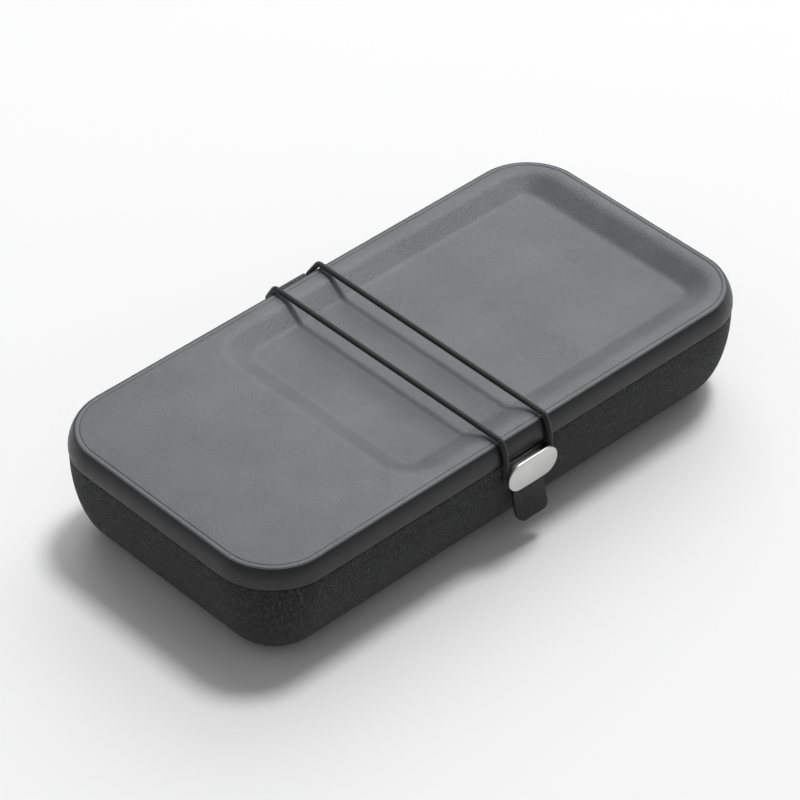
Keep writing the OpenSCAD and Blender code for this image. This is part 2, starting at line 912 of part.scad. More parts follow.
function unit(v) = v / norm(v);
function heading(p, i) =
  i == 0 ? unit(p[1] - p[0]) :
  i == len(p) - 1 ? unit(p[i] - p[i - 1]) :
  unit(unit(p[i + 1] - p[i]) + unit(p[i] - p[i - 1]));

// Carries the side direction along the route without twist
function sides_along(p, i = 0, side = [0, 0, 1], out = []) =
  i == len(p) ? out :
  let (t = heading(p, i), s = unit(side - t * (side * t)))
  sides_along(p, i + 1, s, concat(out, [[s, cross(t, s)]]));

// A round tube along a route, as one closed mesh
module tube(p, r, n) {
  frames = sides_along(p);
  points = [
    for (i = [0:len(p) - 1], k = [0:n - 1])
      let (a = 360 * (k + 0.5) / n)
      p[i] + r * (cos(a) * frames[i][0] + sin(a) * frames[i][1])
  ];
  walls = [
    for (i = [0:len(p) - 2], k = [0:n - 1])
      let (a = i * n + k, b = i * n + (k + 1) % n)
      each [[a, a + n, b], [b, a + n, b + n]]
  ];
  last = (len(p) - 1) * n;
  ends = concat(
    [for (k = [1:n - 2]) [0, k, k + 1]],
    [for (k = [1:n - 2]) [last, last + k + 1, last + k]]
  );
  polyhedron(points, concat(walls, ends));
}

module elastic_loop() {
  color(black)
    tube(route, cord_r, 8);
}

module cord_ferrule() {
  color(steel)
    translate([-ferrule_l / 2, sleeve_y, sleeve_z])
      rotate([0, 90, 0])
        cylinder(r = ferrule_r, h = ferrule_l);
}

// Rubber tab moulded round the front bight, flaring away from the tub at its end
module pull_tab() {
  sleeve_w = 10.4;
  notch_w = 6;
  notch_h = 5;
  wrap_r = cord_r + 0.65;
  top_z = bight_z - 0.4;
  outline_h = top_z + 8 - tab_end_z;
  bend_z = tab_end_z + 0.66 * tab_l;
  flare_z = tab_end_z + 0.26 * tab_l;
  color(black)
    difference() {
      union() {
        intersection() {
          translate([-tab_w / 2, 0, 0])
            rotate([90, 0, 90])
              linear_extrude(tab_w)
                polygon([
                  [bight_y + tab_t / 2, top_z],
                  [bight_y - tab_t / 2, top_z],
                  [bight_y - tab_t / 2 - 0.2, bend_z],
                  [-loop_reach + 1, flare_z],
                  [-loop_reach, tab_end_z],
                  [-loop_reach + tab_t, tab_end_z],
                  [-loop_reach + 1 + tab_t, flare_z],
                  [bight_y + tab_t / 2 - 0.2, bend_z]
                ]);
          upright_plate(tab_w, outline_h, tab_corner_r, -loop_reach - cut, bight_y + 4,
            tab_end_z + outline_h / 2);
        }
        translate([-sleeve_w / 2, bight_y, bight_z])
          rotate([0, 90, 0])
            cylinder(r = wrap_r, h = sleeve_w);
      }
      translate([-tab_w, bight_y, bight_z])
        rotate([0, 90, 0])
          cylinder(r = cord_r + 0.05, h = 2 * tab_w);
      for (s = [-1, 1])
        translate([s * (sleeve_w + notch_w) / 2, bight_y, bight_z + 1])
          cube([notch_w, tab_w, notch_h], center = true);
    }
}

tub_shell();
fabric_cover();
inner_lining();
bottom_plate();
bottom_screws();
rubber_feet();
clasp_back_plate();
clasp_neck();
clasp_face();
clasp_washer_plate();
clasp_screws();
keeper_webbing();
keeper_anchor_plate();
keeper_screws();
divider_left();
divider_right();
lid_frame();
tray_board();
leather_top();
rim_seal();
inner_cover();
cover_screws();
cover_felt();
charging_coil();
ferrite_disc();
coil_foam();
circuit_board();
board_components();
board_screws();
usb_socket();
elastic_loop();
cord_ferrule();
pull_tab();
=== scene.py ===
import math

import bmesh
import bpy
from mathutils import Matrix, Vector


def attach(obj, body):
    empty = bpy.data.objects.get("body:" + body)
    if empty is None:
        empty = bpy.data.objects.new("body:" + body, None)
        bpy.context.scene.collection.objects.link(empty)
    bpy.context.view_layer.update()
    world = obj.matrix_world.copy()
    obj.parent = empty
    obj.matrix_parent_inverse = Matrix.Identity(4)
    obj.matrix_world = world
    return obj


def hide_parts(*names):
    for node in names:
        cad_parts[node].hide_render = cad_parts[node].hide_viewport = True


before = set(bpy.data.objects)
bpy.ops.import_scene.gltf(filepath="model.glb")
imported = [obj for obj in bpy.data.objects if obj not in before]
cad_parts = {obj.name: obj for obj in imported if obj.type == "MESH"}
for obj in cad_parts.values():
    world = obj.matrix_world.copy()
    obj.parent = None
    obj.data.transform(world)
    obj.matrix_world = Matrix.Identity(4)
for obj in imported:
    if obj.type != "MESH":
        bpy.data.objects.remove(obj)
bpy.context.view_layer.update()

# Camera
# It stands in front of the left end, 40 degrees above the table, with a long lens.
scene = bpy.context.scene
eye = bpy.data.cameras.new("camera")
eye.lens = 186.73
eye.sensor_width = 36
eye.clip_start = 0.05
eye.clip_end = 50
camera = bpy.data.objects.new("camera", eye)
camera.matrix_world = Matrix(
    (
        (0.72784, 0.44079, -0.5253, -0.797168),
        (-0.68575, 0.46784, -0.5576, -0.842341),
        (0.0, 0.76605, 0.6428, 0.997094),
        (0.0, 0.0, 0.0, 1.0),
    )
)
scene.collection.objects.link(camera)
scene.camera = camera

# Studio
# A pale sweep of paper, one soft key light high on the right, a wide fill from behind
# and a low softbox whose reflection lies on the leather.
scene.view_settings.view_transform = "Standard"


class Flow:
    """A socket in a material's nodes. Sums on it add Math nodes."""

    def __init__(self, tree, socket=None):
        self.tree = tree
        self.socket = socket

    def node(self, kind, settings, inputs, out=0):
        """Adds a node, sets it up, feeds its sockets and returns one of its outputs."""
        made = self.tree.nodes.new("ShaderNode" + kind)
        for name, value in settings.items():
            if name == "stops":
                ramp = made.color_ramp.elements
                while len(ramp) < len(value):
                    ramp.new(0.5)
                for stop, (place, colour) in zip(ramp, value):
                    stop.position = place
                    stop.color = (*colour, 1) if isinstance(colour, tuple) else (colour,) * 3 + (1,)
            else:
                setattr(made, name, value)
        for name, value in inputs.items():
            if isinstance(value, Flow):
                self.tree.links.new(value.socket, made.inputs[name])
            else:
                made.inputs[name].default_value = value
        return Flow(self.tree, made.outputs[out])

    def sum(self, operation, *values):
        return self.node("Math", {"operation": operation}, dict(enumerate(values)))

    def __add__(self, other):
        return self.sum("ADD", self, other)

    __radd__ = __add__

    def __sub__(self, other):
        return self.sum("SUBTRACT", self, other)

    def __rsub__(self, other):
        return self.sum("SUBTRACT", other, self)

    def __mul__(self, other):
        return self.sum("MULTIPLY", self, other)

    __rmul__ = __mul__

    def __pow__(self, other):
        return self.sum("POWER", self, other)

    def mapped(self, scale, turn=(0, 0, 0), place=(0, 0, 0)):
        """These coordinates scaled, in cells a metre, then turned and shifted."""
        return self.node("Mapping", {}, {0: self, "Location": place, "Rotation": turn, "Scale": scale})

    def noise(self, scale, detail=2.0, roughness=0.5):
        return self.node(
            "TexNoise", {}, {"Vector": self, "Scale": scale, "Detail": detail, "Roughness": roughness}
        )

    def cells(self, scale, feature="F1", out=0):
        return self.node("TexVoronoi", {"feature": feature}, {"Vector": self, "Scale": scale}, out)

    def between(self, low, high, to_low=0.0, to_high=1.0):
        """This value remapped with soft ends, and held inside the new range."""
        return self.node(
            "MapRange",
            {"interpolation_type": "SMOOTHSTEP"},
            {0: self, 1: low, 2: high, 3: to_low, 4: to_high},
        )

    def colours(self, *stops):
        return self.node("ValToRGB", {"stops": stops}, {0: self})

    def mix(self, first, second, blend="MIX"):
        """Two colours mixed by this value."""
        return self.node(
            "Mix", {"data_type": "RGBA", "blend_type": blend}, {0: self, 6: first, 7: second}, 2
        )


def rgb(red, green, blue):
    return (red, green, blue, 1)


class Finish:
    """A Principled material whose colour, roughness and bump come from its nodes."""

    def __init__(self, name):
        self.material = bpy.data.materials.new(name)
        self.material.use_nodes = True
        self.tree = self.material.node_tree
        self.shader = self.tree.nodes["Principled BSDF"]
        self.flow = Flow(self.tree)
        coordinates = self.tree.nodes.new("ShaderNodeTexCoord")
        self.object = Flow(self.tree, coordinates.outputs["Object"])
        self.uv = Flow(self.tree, coordinates.outputs["UV"])

    def set(self, **values):
        for name, value in values.items():
            socket = self.shader.inputs[name.replace("_", " ")]
            if isinstance(value, Flow):
                self.tree.links.new(value.socket, socket)
            else:
                socket.default_value = value
        return self

    def bump(self, height, depth, strength=1.0):
        """Relief of the given depth in metres."""
        relief = self.flow.node(
            "Bump", {}, {"Strength": strength, "Distance": depth, "Height": height}
        )
        return self.set(Normal=relief)


paper = Finish("pale_paper")
paper.set(Base_Color=rgb(0.86, 0.86, 0.86), Roughness=0.9, Specular_IOR_Level=0.1)
sweep = bmesh.new()
bmesh.ops.create_grid(sweep, x_segments=1, y_segments=1, size=6)
floor_mesh = bpy.data.meshes.new("floor")
sweep.to_mesh(floor_mesh)
sweep.free()
floor_mesh.materials.append(paper.material)
floor = bpy.data.objects.new("floor", floor_mesh)
scene.collection.objects.link(floor)

sky = bpy.data.worlds.new("studio_air")
sky.use_nodes = True
sky.node_tree.nodes["Background"].inputs["Color"].default_value = rgb(1, 1, 1)
sky.node_tree.nodes["Background"].inputs["Strength"].default_value = 0.3
scene.world = sky


def shine(name, kind, power, toward, **settings):
    """A lamp that shines from a direction onto the middle of the table."""
    lamp = bpy.data.lights.new(name, kind)
    lamp.energy = power
    distance = settings.pop("distance", 1.5)
    for key, value in settings.items():
        setattr(lamp, key, value)
    fixture = bpy.data.objects.new(name, lamp)
    direction = Vector(toward).normalized()
    fixture.matrix_world = Matrix.Translation(direction * distance) @ (
        direction.to_track_quat("Z", "Y").to_matrix().to_4x4()
    )
    scene.collection.objects.link(fixture)
    return fixture


shine("key_light", "SUN", 1.6, (0.42, 0.1, 1.0), angle=math.radians(14))
shine("wide_fill", "SUN", 1.0, (0.7, 0.5, 0.8), angle=math.radians(70))
shine("low_softbox", "AREA", 6.0, (0.9, 0.6, 0.75), distance=1.6, shape="RECTANGLE", size=1.4, size_y=0.8)

# Lid band
# A moulded black frame round the lid: it leans in towards the leather, carries the tray
# board on a ledge and enters the tub with a thin locating lip. The charging socket's
# opening through its back is cut where the charger is made.
mm = 0.001
body_l, body_w, corner_r = 245 * mm, 122.2 * mm, 25.3 * mm
body_h = 46 * mm
seam_z = 37.86 * mm
centre_x = body_l / 2 - corner_r
centre_y = body_w / 2 - corner_r


def chain(mesh, points, closed=True):
    """A line of vertices and edges through points in millimetres, standing at y = 0."""
    dots = [mesh.verts.new((x * mm, 0, z * mm)) for x, z in points]
    pairs = list(zip(dots, dots[1:] + dots[:1]))
    return dots, [mesh.edges.new(pair) for pair in (pairs if closed else pairs[:-1])]


def carry_round(mesh, edges, steps, half_x=centre_x, half_y=centre_y):
    """Carries edges that stand on the right side once round a rounded rectangle, whose
    corners turn about the points (half_x, half_y)."""
    legs = [(0, 1), (-1, 0), (0, -1), (1, 0), (0, 1)]
    turns = [(1, 1), (-1, 1), (-1, -1), (1, -1)]
    for turn, (leg_x, leg_y) in enumerate(legs):
        length = 1 if turn in (0, 4) else 2
        made = bmesh.ops.extrude_edge_only(mesh, edges=edges)["geom"]
        dots = [part for part in made if isinstance(part, bmesh.types.BMVert)]
        edges = [part for part in made if isinstance(part, bmesh.types.BMEdge)]
        step = Vector((leg_x * half_x * length, leg_y * half_y * length, 0))
        bmesh.ops.translate(mesh, verts=dots, vec=step)
        if turn < 4:
            at = Vector((turns[turn][0] * half_x, turns[turn][1] * half_y, 0))
            last = bmesh.ops.spin(
                mesh, geom=dots + edges, cent=at, axis=(0, 0, 1), angle=math.pi / 2, steps=steps
            )["geom_last"]
            edges = [part for part in last if isinstance(part, bmesh.types.BMEdge)]
    bmesh.ops.remove_doubles(mesh, verts=mesh.verts, dist=1e-6)


def finish_mesh(mesh, name, material, body, sharp=35, outward=True):
    """Turns a bmesh into a piece with smooth faces and sharp edges over an angle."""
    if outward:
        bmesh.ops.recalc_face_normals(mesh, faces=mesh.faces)
    for face in mesh.faces:
        face.smooth = True
    for edge in mesh.edges:
        if len(edge.link_faces) == 2:
            edge.smooth = edge.calc_face_angle(0) < math.radians(sharp)
    data = bpy.data.meshes.new(name)
    mesh.to_mesh(data)
    mesh.free()
    data.materials.append(material)
    piece = bpy.data.objects.new(name, data)
    scene.collection.objects.link(piece)
    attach(piece, body)
    return piece


def apply_modifiers(piece):
    """Bakes a piece's modifiers into its mesh."""
    bpy.context.view_layer.update()
    ready = piece.evaluated_get(bpy.context.evaluated_depsgraph_get())
    data = bpy.data.meshes.new_from_object(ready)
    piece.modifiers.clear()
    piece.data = data


moulding = Finish("black_moulding")
grain = moulding.object.noise(1400, 3, 0.6)
moulding.set(
    Base_Color=moulding.object.noise(60, 2).colours((0.3, (0.0075, 0.0075, 0.0082)), (0.7, (0.0105, 0.0105, 0.0112))),
    Roughness=moulding.object.noise(420, 3).between(0.3, 0.7, 0.36, 0.46),
    IOR=1.5,
)
moulding.bump(grain, 0.00002)

band = bmesh.new()
lean = 2.3
band_steps = 22
outer = [
    (25.3 - lean * (i / band_steps) ** 2.2, 37.86 + 7.94 * i / band_steps) for i in range(1, band_steps)
]
profile = (
    [(25.0, 37.86), (25.2, 37.9), (25.29, 38.02)]
    + outer
    + [(23.06, 45.7), (22.98, 45.78), (22.88, 45.8)]
    + [(22.7, 45.8), (22.7, 44.8), (20.6, 44.8), (20.6, 43.2), (19.3, 43.2), (19.3, 41.8)]
    + [(19.9, 41.8), (19.9, 35.76), (20.2, 35.46), (21.1, 35.46), (21.4, 35.76), (21.4, 37.86)]
    + [(22.4, 37.86), (22.4, 38.36), (23.6, 38.36), (23.6, 37.86)]
)
dots, edges = chain(band, [(x + centre_x / mm, z) for x, z in profile])
carry_round(band, edges, 18)
lid_band = finish_mesh(band, "lid_band", moulding.material, "lid")
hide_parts("lid_frame")

# Leather top
# One hide, glued over the tray board: a rolled edge, a pressed crease just inside it, a
# flat area over the charger and a shallow recess with soft sloping walls.
leather = Finish("slate_leather")
place = leather.object
cloud = place.noise(28, 4, 0.6)
smoke = place.noise(75, 4, 0.65)
tone = cloud * 0.6 + smoke * 0.4
pebble = place.cells(1150, "SMOOTH_F1")
fine = place.noise(900, 4, 0.6)
wrinkle_field = place.mapped((1, 1, 1), (0, 0, 0.7)).noise(240, 5, 0.62)
wrinkle = 1 - (wrinkle_field - 0.5).sum("ABSOLUTE", wrinkle_field - 0.5) * 9
crease_mask = place.noise(38, 3).between(0.52, 0.68)
creases = wrinkle.between(0.2, 1.0) * crease_mask
leather.set(
    Base_Color=tone.colours(
        (0.3, (0.066, 0.071, 0.08)),
        (0.48, (0.092, 0.098, 0.108)),
        (0.62, (0.112, 0.12, 0.128)),
        (0.8, (0.135, 0.145, 0.152)),
    ),
    Roughness=(smoke * 0.25 + fine * 0.2).between(0.1, 0.36, 0.42, 0.58),
    Specular_IOR_Level=0.5,
)
leather.bump(fine * 0.5 + pebble * 0.35 + creases * 0.55, 0.00016)


def rounded_face(mesh, length, width, radius, centre, z, segments):
    """A flat face with round corners, in millimetres."""
    corners = [
        mesh.verts.new(((centre + sx * length / 2) * mm, sy * width / 2 * mm, z * mm))
        for sx, sy in ((1, -1), (1, 1), (-1, 1), (-1, -1))
    ]
    face = mesh.faces.new(corners)
    made = bmesh.ops.bevel(
        mesh, geom=corners, offset=radius * mm, affect="VERTICES", segments=segments,
        profile=0.5, material=-1,
    )
    return max(
        {face for dot in made["verts"] for face in dot.link_faces}, key=lambda face: face.calc_area()
    )


def step_in(mesh, face, steps):
    """Insets a face again and again by (inward, up) steps in millimetres."""
    for inward, up in steps:
        bmesh.ops.inset_region(
            mesh, faces=[face], thickness=inward * mm, depth=up * mm, use_even_offset=True,
            use_boundary=True,
        )
    return face


def slope(share):
    """Fall of the recess's wall at a share of its run, with soft ends."""
    top, bottom = 0.35, 0.2
    rate = 1 / (1 - (top + bottom) / 2)
    if share < top:
        return rate * share * share / (2 * top)
    if share > 1 - bottom:
        return 1 - rate * (1 - share) ** 2 / (2 * bottom)
    return rate * (share - top / 2)


hide = bmesh.new()
top_face = rounded_face(hide, 239.8, 117.0, 22.7, 0, 44.85, 18)
edge_steps = [(0.001, 0.6), (0.05, 0.2), (0.12, 0.18), (0.18, 0.1), (0.25, 0.05), (0.5, 0.02)]
crease_steps = [(0.45, -0.05), (0.14, -0.12), (0.1, -0.05), (0.1, 0.05), (0.14, 0.12), (0.4, 0.05)]
step_in(hide, top_face, edge_steps + crease_steps)
rim_edges = list(top_face.edges)
rim_height = top_face.verts[0].co.z / mm
bmesh.ops.delete(hide, geom=[top_face], context="FACES_ONLY")
recess = rounded_face(hide, 168.5, 110, 18, 32.25, rim_height, 18)
recess_edges = list(recess.edges)
bmesh.ops.bridge_loops(hide, edges=rim_edges + recess_edges)
wall_steps = 20
step_in(
    hide,
    recess,
    [
        (13.9 / wall_steps, -4.4 * (slope((i + 1) / wall_steps) - slope(i / wall_steps)))
        for i in range(wall_steps)
    ],
)
leather_hide = finish_mesh(hide, "leather_hide", leather.material, "lid", outward=False)
thick = leather_hide.modifiers.new("hide_thickness", "SOLIDIFY")
thick.thickness = 1.1 * mm
thick.offset = -1
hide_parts("leather_top")

# Fabric cover
# A heathered woven cloth, stretched over the moulded tub, folded in at the rim and
# tucked under it. Its threads run up the wall and round it.


def belly(depth, steps=16):
    """Quarter-ellipse of the tub's wall at an even depth in from the cloth's face."""
    return [
        (
            25.3 - 0.3 - 13.7 + (13.7 - depth) * math.cos(math.pi / 2 * i / steps),
            34.56 - (34.56 - 1.5 - depth) * math.sin(math.pi / 2 * i / steps),
        )
        for i in range(steps + 1)
    ]


def lay_threads(mesh, profile, radius=22 * mm):
    """Gives a carried profile a UV map in metres: along the wall, and down the profile."""
    lengths = {}
    run = 0
    for here, after in zip(profile, profile[1:] + profile[:1]):
        lengths[(round(here[0], 2), round(here[1], 2))] = run * mm
        run += math.dist(here, after)
    uv = mesh.loops.layers.uv.new("threads")
    quarter = radius * math.pi / 2
    around = 4 * (centre_x + centre_y) + 4 * quarter
    for face in mesh.faces:
        middle = face.calc_center_median()
        right, top = middle.x > 0, middle.y > 0
        on_end, on_side = abs(middle.x) > centre_x, abs(middle.y) > centre_y
        for loop in face.loops:
            x, y, z = loop.vert.co
            past_x, past_y = max(abs(x) - centre_x, 0), max(abs(y) - centre_y, 0)
            out = math.hypot(past_x, past_y)
            angle = math.atan2(past_y, past_x) * radius
            if on_end and on_side:
                quadrant = centre_y + (angle if right == top else quarter - angle)
                place = quadrant if right and top else (
                    quadrant + quarter + 2 * centre_x if top else
                    quadrant + 2 * quarter + 2 * centre_x + 2 * centre_y if not right else
                    quadrant + 3 * quarter + 4 * centre_x + 2 * centre_y
                )
            elif on_end:
                place = (y if top else around + y) if right else (
                    2 * quarter + centre_y + 2 * centre_x + centre_y - y
                )
            else:
                place = (
                    centre_y + quarter + centre_x - x if top else
                    3 * quarter + 3 * centre_y + 3 * centre_x + x
                )
            down = lengths.get((round(out / mm, 2), round(z / mm, 2)), 0)
            loop[uv].uv = (place, down)


cloth = Finish("charcoal_cloth")
threads = cloth.uv
heather = threads.mapped((1150, 430, 1)).noise(1, 3, 0.65)
specks = threads.mapped((2100, 1500, 1), place=(7, 3, 0)).noise(1, 2, 0.6)
tufts = threads.mapped((260, 200, 1), place=(2, 5, 0)).noise(1, 3)
across = threads.node("SeparateXYZ", {}, {0: threads})
down = threads.node("SeparateXYZ", {}, {0: threads}, 1)
weave = (across * (math.pi / 0.00056)).sum("SINE", across * (math.pi / 0.00056)) * (
    (down * (math.pi / 0.0005)).sum("SINE", down * (math.pi / 0.0005))
)
mixed = heather * 0.62 + specks * 0.26 + tufts * 0.12
cloth.set(
    Base_Color=mixed.colours(
        (0.4, (0.0062, 0.0062, 0.0066)),
        (0.5, (0.014, 0.014, 0.0146)),
        (0.57, (0.034, 0.034, 0.035)),
        (0.66, (0.085, 0.085, 0.087)),
    ),
    Roughness=0.85,
    Specular_IOR_Level=0.25,
    Sheen_Weight=0.25,
    Sheen_Roughness=0.4,
    Sheen_Tint=rgb(0.7, 0.7, 0.72),
)
cloth.bump(weave * 0.35 + heather * 0.9 + specks * 0.5, 0.00035)

cover = bmesh.new()
outside = [(24.2, 37.4), (24.6, 37.45), (24.88, 37.3), (24.98, 37.0), (25.0, 36.0)] + belly(0)
inside = [(3.3, 1.5), (3.3, 2.5)] + belly(1)[::-1] + [(24.0, 37.4)]
dots, edges = chain(cover, [(x + centre_x / mm, z) for x, z in outside + inside])
carry_round(cover, edges, 18)
lay_threads(cover, outside + inside)
fabric_sleeve = finish_mesh(cover, "fabric_sleeve", cloth.material, "base")
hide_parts("fabric_cover")

# Tub shell, bottom plate and washer plates
# Moulded black tub, and the bottom plate that six screws hold under it. The lid's board
# and inner cover and the clasp's back plate are moulded in the same plastic.


def dress(material, *names):
    """Gives CAD nodes their finish."""
    for name in names:
        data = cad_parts[name].data
        data.materials.clear()
        data.materials.append(material)


dress(moulding.material, "tub_shell", "bottom_plate", "clasp_back_plate", "tray_board", "inner_cover")

# Screws and plates
# Zinc-plated pan-head screws, washer plates and the cord's ferrule.
zinc = Finish("zinc_plate")
zinc.set(
    Base_Color=zinc.object.noise(500, 3).colours((0.3, (0.42, 0.42, 0.44)), (0.7, (0.56, 0.56, 0.57))),
    Metallic=1.0,
    Roughness=zinc.object.noise(900, 3).between(0.3, 0.7, 0.28, 0.44),
)
zinc.bump(zinc.object.noise(2600, 2), 0.00001)
dress(
    zinc.material, "bottom_screws", "clasp_washer_plate", "clasp_screws", "keeper_anchor_plate",
    "keeper_screws", "cover_screws", "board_screws", "usb_socket", "cord_ferrule",
)

# Rubber feet and rim seal
# Soft black rubber: four discs set in the bottom plate, and the ring in the lid's seam.
rubber = Finish("black_rubber")
rubber.set(
    Base_Color=rubber.object.noise(80, 3).colours((0.3, (0.009, 0.009, 0.0095)), (0.7, (0.014, 0.014, 0.0145))),
    Roughness=rubber.object.noise(600, 3).between(0.3, 0.7, 0.5, 0.62),
    IOR=1.45,
)
rubber.bump(rubber.object.noise(1800, 3, 0.6), 0.00002)
dress(rubber.material, "rubber_feet", "rim_seal")

# Felt lining
# Short grey felt glued to the inside of the tub, with windows for the washer plates.
felt = Finish("grey_felt")
fibres = felt.object.noise(1700, 4, 0.7)
felt.set(
    Base_Color=(fibres * 0.7 + felt.object.noise(220, 3) * 0.3).colours(
        (0.3, (0.05, 0.05, 0.053)), (0.5, (0.09, 0.09, 0.094)), (0.7, (0.15, 0.15, 0.155))
    ),
    Roughness=0.95,
    Specular_IOR_Level=0.15,
    Sheen_Weight=0.5,
    Sheen_Roughness=0.5,
)
felt.bump(fibres, 0.0004)


def take_away(piece, tool):
    """Cuts a closed mesh out of a piece."""
    bmesh.ops.recalc_face_normals(tool, faces=tool.faces)
    data = bpy.data.meshes.new("cutter")
    tool.to_mesh(data)
    tool.free()
    cutter = bpy.data.objects.new("cutter", data)
    scene.collection.objects.link(cutter)
    cutting = piece.modifiers.new("cut_out", "BOOLEAN")
    cutting.object = cutter
    cutting.solver = "EXACT"
    apply_modifiers(piece)
    bpy.data.objects.remove(cutter)


def cut_out(piece, cutters):
    """Takes (low, high) boxes in millimetres, or (middle, radius, height) rods, out of a piece."""
    tool = bmesh.new()
    for first, second, *third in cutters:
        if third:
            made = bmesh.ops.create_cone(
                tool, cap_ends=True, segments=32, radius1=second * mm, radius2=second * mm,
                depth=third[0] * mm,
            )["verts"]
            bmesh.ops.translate(tool, verts=made, vec=Vector(first) * mm)
        else:
            made = bmesh.ops.create_cube(tool, size=1)["verts"]
            low, high = Vector(first) * mm, Vector(second) * mm
            bmesh.ops.scale(tool, verts=made, vec=high - low)
            bmesh.ops.translate(tool, verts=made, vec=(low + high) / 2)
    take_away(piece, tool)


lining = bmesh.new()
wall = [(24.3 - 3.5, 35.1)] + belly(4.2) + [(3.0, 5.7)]
dots, edges = chain(lining, [(x + centre_x / mm, z) for x, z in wall], closed=False)
carry_round(lining, edges, 14)
bottom = [edge for edge in lining.edges if edge.is_boundary and edge.verts[0].co.z < 6 * mm]
bmesh.ops.contextual_create(lining, geom=bottom)
bmesh.ops.recalc_face_normals(lining, faces=lining.faces)
if max(lining.faces, key=lambda face: face.calc_area()).normal.z < 0:
    bmesh.ops.reverse_faces(lining, faces=lining.faces)
felt_lining = finish_mesh(lining, "felt_lining", felt.material, "base", outward=False)
layer = felt_lining.modifiers.new("felt_thickness", "SOLIDIFY")
layer.thickness = 0.95 * mm
layer.offset = -1
apply_modifiers(felt_lining)
windows = [((-13.6, s * 57 - 3, 24.7), (13.6, s * 57 + 3, 34.9)) for s in (-1, 1)]
posts = [((x, y, 5), 3.4, 4) for x in (-63, 0, 63) for y in (-28, 28)]
cut_out(felt_lining, windows + posts)
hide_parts("inner_lining")

# Dividers
# Stiff boards wrapped in the same felt. Each stands on two wide flaps, cut to the tub's
# rounded floor, and slides along it by hand.
for name, x in (("divider_left", -41.65), ("divider_right", 37.975)):
    board = bmesh.new()
    shift = centre_y / mm
    outline = [(p[0] + shift, p[1]) for p in belly(4.5) if p[1] < 33.06]
    wall_outline = [(-outline[0][0] + 0.1, 33.06), (outline[0][0] - 0.1, 33.06)] + outline
    wall_outline += [(-y, z) for y, z in reversed(outline)]
    ring = [board.verts.new(((x - 1.2) * mm, y * mm, z * mm)) for y, z in wall_outline]
    face = board.faces.new(ring)
    raised = bmesh.ops.extrude_face_region(board, geom=[face])["geom"]
    bmesh.ops.translate(
        board, verts=[p for p in raised if isinstance(p, bmesh.types.BMVert)], vec=(2.4 * mm, 0, 0)
    )
    rims = [edge for edge in board.edges if abs(edge.verts[0].co.x - edge.verts[1].co.x) < 1e-6]
    bmesh.ops.bevel(board, geom=rims, offset=0.5 * mm, affect="EDGES", segments=3, profile=0.5, material=-1)
    for s in (-1, 1):
        flap = bmesh.ops.create_cube(board, size=1)["verts"]
        bmesh.ops.scale(board, verts=flap, vec=(5.8 * mm, 92 * mm, 1.2 * mm))
        bmesh.ops.translate(board, verts=flap, vec=((x + s * 4.1) * mm, 0, 6.6 * mm))
        flap_edges = {edge for dot in flap for edge in dot.link_edges}
        bmesh.ops.bevel(
            board, geom=list(flap_edges), offset=0.35 * mm, affect="EDGES", segments=2, profile=0.5,
            material=-1,
        )
    body = "left_divider" if x < 0 else "right_divider"
    felt_board = finish_mesh(board, "felt_" + name, felt.material, body, 50)
    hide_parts(name)

# Metal clasp
# A satin steel pill on a short neck, screwed to the tub from inside. Its rims are
# chamfered.
steel = Finish("satin_steel")
streaks = steel.object.mapped((300, 300, 9000)).noise(1, 2)
blast = steel.object.noise(4200, 3, 0.6)
steel.set(
    Base_Color=steel.object.noise(150, 3).colours((0.3, (0.58, 0.58, 0.58)), (0.7, (0.64, 0.64, 0.63))),
    Metallic=1.0,
    Roughness=(blast * 0.6 + streaks * 0.4).between(0.3, 0.7, 0.3, 0.42),
)
steel.bump(blast * 0.7 + streaks * 0.3, 0.000012)


def pill(mesh, width, height, back, front, middle_z, rim, rings=2, sides=64):
    """A pill with bevelled rims, lying against the front between two depths, in millimetres."""
    dots = bmesh.ops.create_circle(mesh, cap_ends=True, segments=sides, radius=height / 2 * mm)["verts"]
    turn = Matrix.Rotation(math.pi / sides, 4, "Z")
    bmesh.ops.transform(mesh, matrix=Matrix.Rotation(math.pi / 2, 4, "X") @ turn, verts=dots)
    for side in (-1, 1):
        half = [dot for dot in dots if dot.co.x * side > 0]
        bmesh.ops.translate(mesh, verts=half, vec=(side * (width - height) / 2 * mm, 0, 0))
    bmesh.ops.translate(mesh, verts=dots, vec=(0, back * mm, middle_z * mm))
    face = dots[0].link_faces[0]
    raised = bmesh.ops.extrude_face_region(mesh, geom=[face])["geom"]
    front_dots = [part for part in raised if isinstance(part, bmesh.types.BMVert)]
    bmesh.ops.translate(mesh, verts=front_dots, vec=(0, (front - back) * mm, 0))
    rims = [
        edge for dot in dots + front_dots for edge in dot.link_edges
        if abs(edge.verts[0].co.y - edge.verts[1].co.y) < 1e-6
    ]
    bmesh.ops.bevel(
        mesh, geom=list(set(rims)), offset=rim * mm, affect="EDGES", segments=rings, profile=0.5, material=-1
    )


plate = bmesh.new()
pill(plate, 24, 11.9, -64.2, -65.4, 31.8, 0.28)
clasp_pill = finish_mesh(plate, "clasp_pill", steel.material, "base", 50)
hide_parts("clasp_face")
stem = bmesh.new()
pill(stem, 18.6, 7, -61.3, -64.2, 31.8, 0.15)
clasp_stem = finish_mesh(stem, "clasp_stem", steel.material, "base", 50)
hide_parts("clasp_neck")

